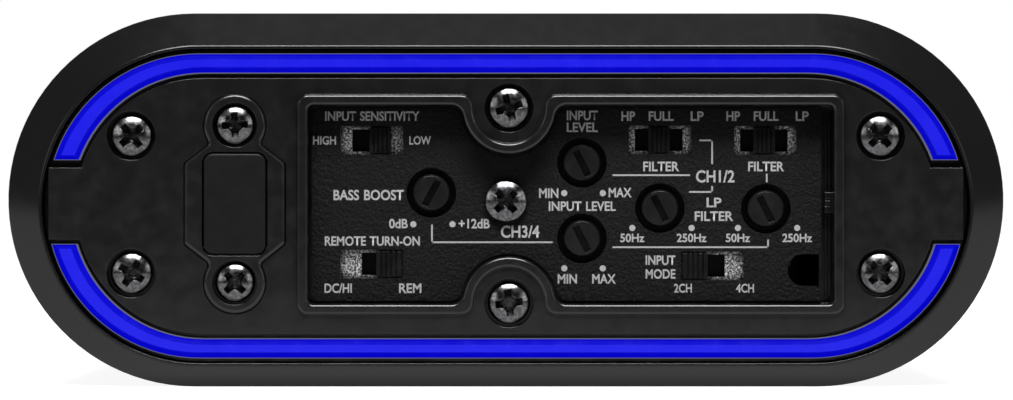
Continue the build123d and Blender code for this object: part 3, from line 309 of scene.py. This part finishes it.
def bare_metal(name, colour, roughness):
    shader = Shader(name, colour, roughness, metallic=1.0)
    tone = shader.noise(1.2, detail=5.0)
    shader.colour(shader.blend_colour(tone, [c * 0.78 for c in colour], [min(1.0, c * 1.15) for c in colour]))
    shader.rough(shader.noise(0.7, detail=4.0), roughness - 0.08, roughness + 0.12)
    shader.bump(tone, 0.01, 0.3, 0.1)
    return shader.material


def tinted_plastic(name, colour, roughness, spread=0.2):
    shader = Shader(name, colour, roughness)
    tone = shader.noise(3.0, detail=4.0)
    low = [c * (1 - spread) for c in colour]
    high = [min(1.0, c * (1 + spread)) for c in colour]
    shader.colour(shader.blend_colour(tone, low, high))
    shader.rough(shader.noise(1.0, detail=4.0), max(0.05, roughness - 0.06), roughness + 0.08)
    shader.bump(shader.noise(0.3, detail=2.0), 0.01, 0.3, 0.1)
    return shader.material


def circuit_material():
    """Green solder mask with the copper tracks showing faintly through it."""
    shader = Shader("circuit_board", (0.01, 0.07, 0.03), 0.30)
    tracks = shader.node("ShaderNodeTexBrick", offset=0.37, squash=0.6)
    tracks.inputs["Scale"].default_value = 170.0
    tracks.inputs["Mortar Size"].default_value = 0.05
    tracks.inputs["Color1"].default_value = (0.008, 0.060, 0.025, 1.0)
    tracks.inputs["Color2"].default_value = (0.010, 0.075, 0.032, 1.0)
    tracks.inputs["Mortar"].default_value = (0.030, 0.150, 0.060, 1.0)
    shader.link(shader.place, tracks.inputs["Vector"])
    shader.colour(tracks.outputs["Color"])
    shader.bump(tracks.outputs["Fac"], 0.03, 0.5)
    return shader.material


def winding_material():
    """Enamelled wire: fine ridges that run round the ring's cross-section."""
    shader = Shader("copper", (0.60, 0.22, 0.08), 0.25, metallic=0.8)
    wire = shader.noise(0.9, detail=1.0)
    shader.colour(shader.blend_colour(wire, (0.42, 0.13, 0.05), (0.72, 0.30, 0.12)))
    shader.rough(wire, 0.18, 0.34)
    shader.bump(wire, 0.25, 0.8)
    return shader.material


def ink_material():
    """Pale grey screen ink, slightly broken up by the grain beneath it."""
    shader = Shader("legend_ink", (0.55, 0.55, 0.55), 0.55)
    speckle = shader.noise(0.28, detail=4.0, roughness=0.65)
    shader.colour(shader.blend_colour(speckle, (0.085, 0.085, 0.085), (0.18, 0.18, 0.18)))
    shader.rough(speckle, 0.45, 0.65)
    shader.bump(speckle, 0.03, 0.5)
    return shader.material


def floor_material():
    shader = Shader("studio_floor", (0.25, 0.25, 0.25), 0.85, specular=0.1)
    shader.surface.inputs["Emission Color"].default_value = (1.0, 1.0, 1.0, 1.0)
    glow = shader.ramp(shader.axis("Y"), -0.50, -0.18, 0.08, 0.90)
    shader.link(glow, shader.surface.inputs["Emission Strength"])
    return shader.material


MATERIALS = {
    "heatsink": anodised_material(),
    "rim_plastic": rim_material(),
    "face_plastic": face_material(),
    "panel_texture": panel_material(),
    "blue_light": light_material(),
    "flex_circuit": tinted_plastic("flex_circuit", (0.72, 0.72, 0.70), 0.4, 0.08),
    "black_screw": screw_material(),
    "base_steel": powder_coat_material(),
    "bare_steel": bare_metal("bare_steel", (0.55, 0.55, 0.56), 0.35),
    "brass_parts": bare_metal("brass_parts", (0.72, 0.55, 0.26), 0.32),
    "plug_rubber": moulded_plastic("plug_rubber", 0.0035, 0.34, 0.3, 0.01, 0.2, specular=0.07).material,
    "shaft_plastic": plastic_with_painted_shade("shaft_plastic", 0.0028, 0.24, 0.1),
    "knob_plastic": plastic_with_painted_shade("knob_plastic", 0.0015, 0.22, 0.06),
    "tin": tin_material(),
    "component_black": plastic_with_painted_shade("component_black", 0.001, 0.35, 0.1, specular=0.07),
    "circuit_board": circuit_material(),
    "ferrite": tinted_plastic("ferrite", (0.05, 0.08, 0.07), 0.5),
    "copper": winding_material(),
    "capacitor_sleeve": tinted_plastic("capacitor_sleeve", (0.02, 0.03, 0.08), 0.25),
    "terminal_plastic": moulded_plastic("terminal_plastic", 0.010, 0.40, 0.3, 0.02).material,
    "nickel": bare_metal("nickel", (0.66, 0.63, 0.58), 0.22),
    "rca_insulator": tinted_plastic("rca_insulator", (0.70, 0.70, 0.67), 0.35, 0.06),
    "fuse_plastic": tinted_plastic("fuse_plastic", (0.80, 0.36, 0.02), 0.15, 0.1),
}


def dress_cad_nodes():
    """Give every CAD node the material of its slot in the record."""
    for entry in frame["record"]["subparts"]:
        mesh = nodes[entry["node"]].data
        material = MATERIALS[entry["material_slot"]]
        mesh.materials.clear()
        mesh.materials.append(material)
        for polygon in mesh.polygons:
            polygon.material_index = 0


# ---------------------------------------------------------------- printed legends
INK = ink_material()
INK_LIFT = 0.015 * MM
LETTER = 1.55            # height of the usual capitals, in millimetres
STROKE = 0.022           # extra weight of the letters, as a share of their size
WORD_SPACE = 1.25
LINE = 0.27 * MM
DOT = 0.50 * MM
DOT_SIDES = 20


class Panel:
    """A printed face: collects letters, rules and dots at the control end and joins them."""

    def __init__(self, name, depth):
        self.name = name
        self.depth = depth
        self.parts = []

    def keep(self, piece, x, z):
        """Stand a flat drawing up on the panel and put it at x, z in millimetres."""
        turn = Matrix.Rotation(math.radians(90), 4, "X")
        place = Matrix.Translation((x * MM, self.depth - INK_LIFT, z * MM))
        piece.data.transform(place @ turn)
        self.parts.append(piece)

    def text(self, words, x, z, width, height=LETTER):
        """Printed words of a given width and capital height, in millimetres."""
        curve = bpy.data.curves.new("letters", "FONT")
        curve.body = words
        curve.offset = STROKE
        curve.space_word = WORD_SPACE
        curve.resolution_u = 4
        drawn = bpy.data.objects.new("letters", curve)
        bpy.context.collection.objects.link(drawn)
        bpy.context.view_layer.update()
        mesh = bpy.data.meshes.new_from_object(drawn.evaluated_get(bpy.context.evaluated_depsgraph_get()))
        bpy.data.objects.remove(drawn)
        bpy.data.curves.remove(curve)
        spans = [[v.co[i] for v in mesh.vertices] for i in (0, 1)]
        middle = [(min(span) + max(span)) / 2 for span in spans]
        size = [max(span) - min(span) for span in spans]
        mesh.transform(Matrix.Translation((-middle[0], -middle[1], 0)))
        mesh.transform(Matrix.Diagonal((width * MM / size[0], height * MM / size[1], 1, 1)))
        piece = bpy.data.objects.new("letters", mesh)
        bpy.context.collection.objects.link(piece)
        self.keep(piece, x, z)

    def rule(self, points, width=LINE):
        """A thin printed line through points in millimetres."""
        for (x0, z0), (x1, z1) in zip(points, points[1:]):
            left, right = sorted((x0, x1))
            low, high = sorted((z0, z1))
            half = width / MM / 2
            corners = [(left - half, low - half), (right + half, low - half),
                       (right + half, high + half), (left - half, high + half)]
            mesh = bpy.data.meshes.new("rule")
            mesh.from_pydata([(x * MM, z * MM, 0) for x, z in corners], [], [(0, 1, 2, 3)])
            piece = bpy.data.objects.new("rule", mesh)
            bpy.context.collection.objects.link(piece)
            self.keep(piece, 0, 0)

    def dot(self, x, z, radius=DOT):
        ring = [(radius * math.cos(2 * math.pi * n / DOT_SIDES), radius * math.sin(2 * math.pi * n / DOT_SIDES), 0)
                for n in range(DOT_SIDES)]
        mesh = bpy.data.meshes.new("dot")
        mesh.from_pydata(ring, [], [tuple(range(DOT_SIDES))])
        piece = bpy.data.objects.new("dot", mesh)
        bpy.context.collection.objects.link(piece)
        self.keep(piece, x, z)

    def finish(self):
        """Join everything printed here into one piece of thin ink."""
        for other in bpy.context.selected_objects:
            other.select_set(False)
        for part in self.parts:
            part.select_set(True)
        bpy.context.view_layer.objects.active = self.parts[0]
        bpy.ops.object.join()
        joined = bpy.context.view_layer.objects.active
        joined.name = self.name
        joined.data.materials.clear()
        joined.data.materials.append(INK)
        joined.select_set(False)
        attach(joined, "root")
        return joined


def print_control_legends():
    """Function names and end marks on the control panel."""
    panel = Panel("control_legends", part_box("control_plate")[0].y)
    panel.text("INPUT SENSITIVITY", -21.5, 43.5, 15.2)
    panel.text("HIGH", -29.2, 39.6, 3.7, 1.4)
    panel.text("LOW", -13.8, 39.6, 3.5, 1.4)
    panel.text("BASS BOOST", -22.1, 30.8, 11.3, 1.7)
    panel.text("0dB", -17.3, 26.2, 3.0)
    panel.dot(-14.9, 26.1)
    panel.dot(-8.6, 26.1)
    panel.text("+12dB", -5.1, 26.2, 5.0)
    panel.text("REMOTE TURN-ON", -21.5, 23.4, 15.3)
    panel.text("DC/HI", -27.0, 15.8, 4.4)
    panel.text("REM", -15.4, 15.8, 3.6)
    panel.rule([(-11.9, 25.9), (-11.9, 23.2), (7.4, 23.2)])
    panel.text("CH3/4", 2.3, 24.9, 6.2, 2.0)
    panel.text("INPUT", 12.3, 43.6, 5.0)
    panel.text("LEVEL", 12.3, 41.7, 5.0)
    panel.text("MIN", 6.9, 31.1, 3.1)
    panel.dot(9.4, 31.1)
    panel.dot(15.6, 31.1)
    panel.text("MAX", 18.4, 31.2, 3.7)
    panel.text("INPUT LEVEL", 12.3, 29.0, 10.8)
    panel.dot(9.4, 19.0)
    panel.dot(15.6, 19.0)
    panel.text("MIN", 9.9, 17.3, 3.1)
    panel.text("MAX", 15.8, 17.3, 3.8)
    for x in (25.0, 41.9):
        panel.text("HP", x - 5.3, 43.5, 2.2)
        panel.text("FULL", x, 43.5, 4.0)
        panel.text("LP", x + 5.8, 43.5, 2.1)
        panel.text("FILTER", x, 35.4, 5.8)
    panel.rule([(17.3, 34.0), (29.5, 34.0)])
    panel.rule([(31.3, 39.6), (33.2, 39.6), (33.2, 35.9)])
    panel.text("CH1/2", 33.7, 33.8, 6.2, 2.0)
    panel.rule([(29.6, 31.3), (33.2, 31.3), (33.2, 32.1)])
    panel.text("LP", 33.5, 29.6, 2.4)
    panel.text("FILTER", 33.5, 27.4, 6.2)
    panel.rule([(42.0, 34.1), (42.0, 33.0)])
    for x in (25.1, 42.1):
        panel.dot(x - 4.75, 25.5)
        panel.dot(x + 4.8, 25.5)
        panel.text("50Hz", x - 4.75, 23.9, 3.9, 1.4)
        panel.text("250Hz", x + 4.8, 23.9, 4.8, 1.4)
    panel.rule([(17.3, 22.4), (42.2, 22.4), (42.2, 23.5)])
    panel.text("INPUT", 24.9, 20.3, 4.8)
    panel.text("MODE", 24.9, 18.1, 4.8)
    panel.text("2CH", 28.5, 15.8, 2.9, 1.45)
    panel.text("4CH", 38.5, 15.8, 2.9, 1.45)
    return panel.finish()


dress_cad_nodes()
print_control_legends()


# ---------------------------------------------------------------- studio
def area_light(name, place, size, power, target=(0, 0, 0.03), size_y=None):
    """A soft box of the given size in metres and power in watts, turned to face a target."""
    data = bpy.data.lights.new(name, "AREA")
    data.shape = "RECTANGLE"
    data.size = size
    data.size_y = size_y or size
    data.energy = power
    light = bpy.data.objects.new(name, data)
    light.location = place
    light.rotation_euler = (Vector(target) - Vector(place)).to_track_quat("-Z", "Y").to_euler()
    light.visible_camera = False
    bpy.context.collection.objects.link(light)


FLOOR_REACH = 30.0
FLOOR_NEAR = -0.42               # the floor stops here, short of the camera
FLOOR_OPENING = (0.0495, 0.112)  # half sizes of an opening under the base, which stands on the floor
DIM, LIGHT = 0.05, 0.26          # strength of the room behind the camera and all round


def build_studio():
    """Pale floor, white surroundings and soft boxes overhead and at the sides."""
    mesh = bpy.data.meshes.new("floor")
    reach, (side, end) = FLOOR_REACH, FLOOR_OPENING
    outer = [(-reach, FLOOR_NEAR), (reach, FLOOR_NEAR), (reach, reach), (-reach, reach)]
    inner = [(-side, -end), (side, -end), (side, end), (-side, end)]
    mesh.from_pydata([(x, y, 0) for x, y in outer + inner], [],
                     [(n, (n + 1) % 4, 4 + (n + 1) % 4, 4 + n) for n in range(4)])
    floor = bpy.data.objects.new("floor", mesh)
    floor.data.materials.append(floor_material())
    bpy.context.collection.objects.link(floor)

    world = bpy.data.worlds.new("studio")
    bpy.context.scene.world = world
    world.use_nodes = True
    tree = world.node_tree
    glow = tree.nodes["Background"]
    glow.inputs["Color"].default_value = (1.0, 1.0, 1.0, 1.0)
    sky = tree.nodes.new("ShaderNodeTexCoord")
    split = tree.nodes.new("ShaderNodeSeparateXYZ")
    level = tree.nodes.new("ShaderNodeMapRange")
    tree.links.new(sky.outputs["Generated"], split.inputs["Vector"])
    tree.links.new(split.outputs["Y"], level.inputs["Value"])
    # the room is dim behind the camera and lighter all round
    level.inputs["From Min"].default_value = -0.95
    level.inputs["From Max"].default_value = -0.35
    level.inputs["To Min"].default_value = DIM
    level.inputs["To Max"].default_value = LIGHT
    tree.links.new(level.outputs["Result"], glow.inputs["Strength"])
    seen = tree.nodes.new("ShaderNodeBackground")
    seen.inputs["Color"].default_value = (1.0, 1.0, 1.0, 1.0)
    seen.inputs["Strength"].default_value = 1.0
    path = tree.nodes.new("ShaderNodeLightPath")
    mix = tree.nodes.new("ShaderNodeMixShader")
    tree.links.new(path.outputs["Is Camera Ray"], mix.inputs["Fac"])
    tree.links.new(glow.outputs["Background"], mix.inputs[1])
    tree.links.new(seen.outputs["Background"], mix.inputs[2])
    tree.links.new(mix.outputs["Shader"], tree.nodes["World Output"].inputs["Surface"])

    area_light("overhead", (0, -0.385, 0.957), 0.24, 0.17, target=(0, FRONT, 0.057), size_y=0.45)
    area_light("key", (0, -1.08, 1.18), 0.9, 75.0, target=(0, FRONT, 0.03), size_y=0.5)
    for side in (-1, 1):
        area_light(f"fill_{side}", (1.2 * side, -1.4, 0.45), 0.6, 4.0)
    sun = bpy.data.lights.new("soft_top_light", "SUN")
    sun.energy = 0.5
    sun.angle = math.radians(45)
    lamp = bpy.data.objects.new("soft_top_light", sun)
    lamp.rotation_euler = (math.radians(-35), 0, 0)
    bpy.context.collection.objects.link(lamp)


build_studio()

LENS = 200.0
SENSOR = 36.0
OUTLINE_DEPTH = 4.8 * MM   # the end cap's widest outline lies this far behind its front
VIEW_WIDTH = 0.1629        # width of the view at that outline

camera_data = bpy.data.cameras.new("camera")
camera_data.lens = LENS
camera_data.sensor_width = SENSOR
camera = bpy.data.objects.new("camera", camera_data)
bpy.context.collection.objects.link(camera)
outline_y = FRONT + OUTLINE_DEPTH
distance = VIEW_WIDTH * LENS / SENSOR
camera.location = (0.0001, outline_y - distance, 0.0300)
camera.rotation_euler = (math.radians(90), 0, 0)
camera_data.clip_end = 100.0
bpy.context.scene.camera = camera
bpy.context.scene.view_settings.view_transform = "Standard"
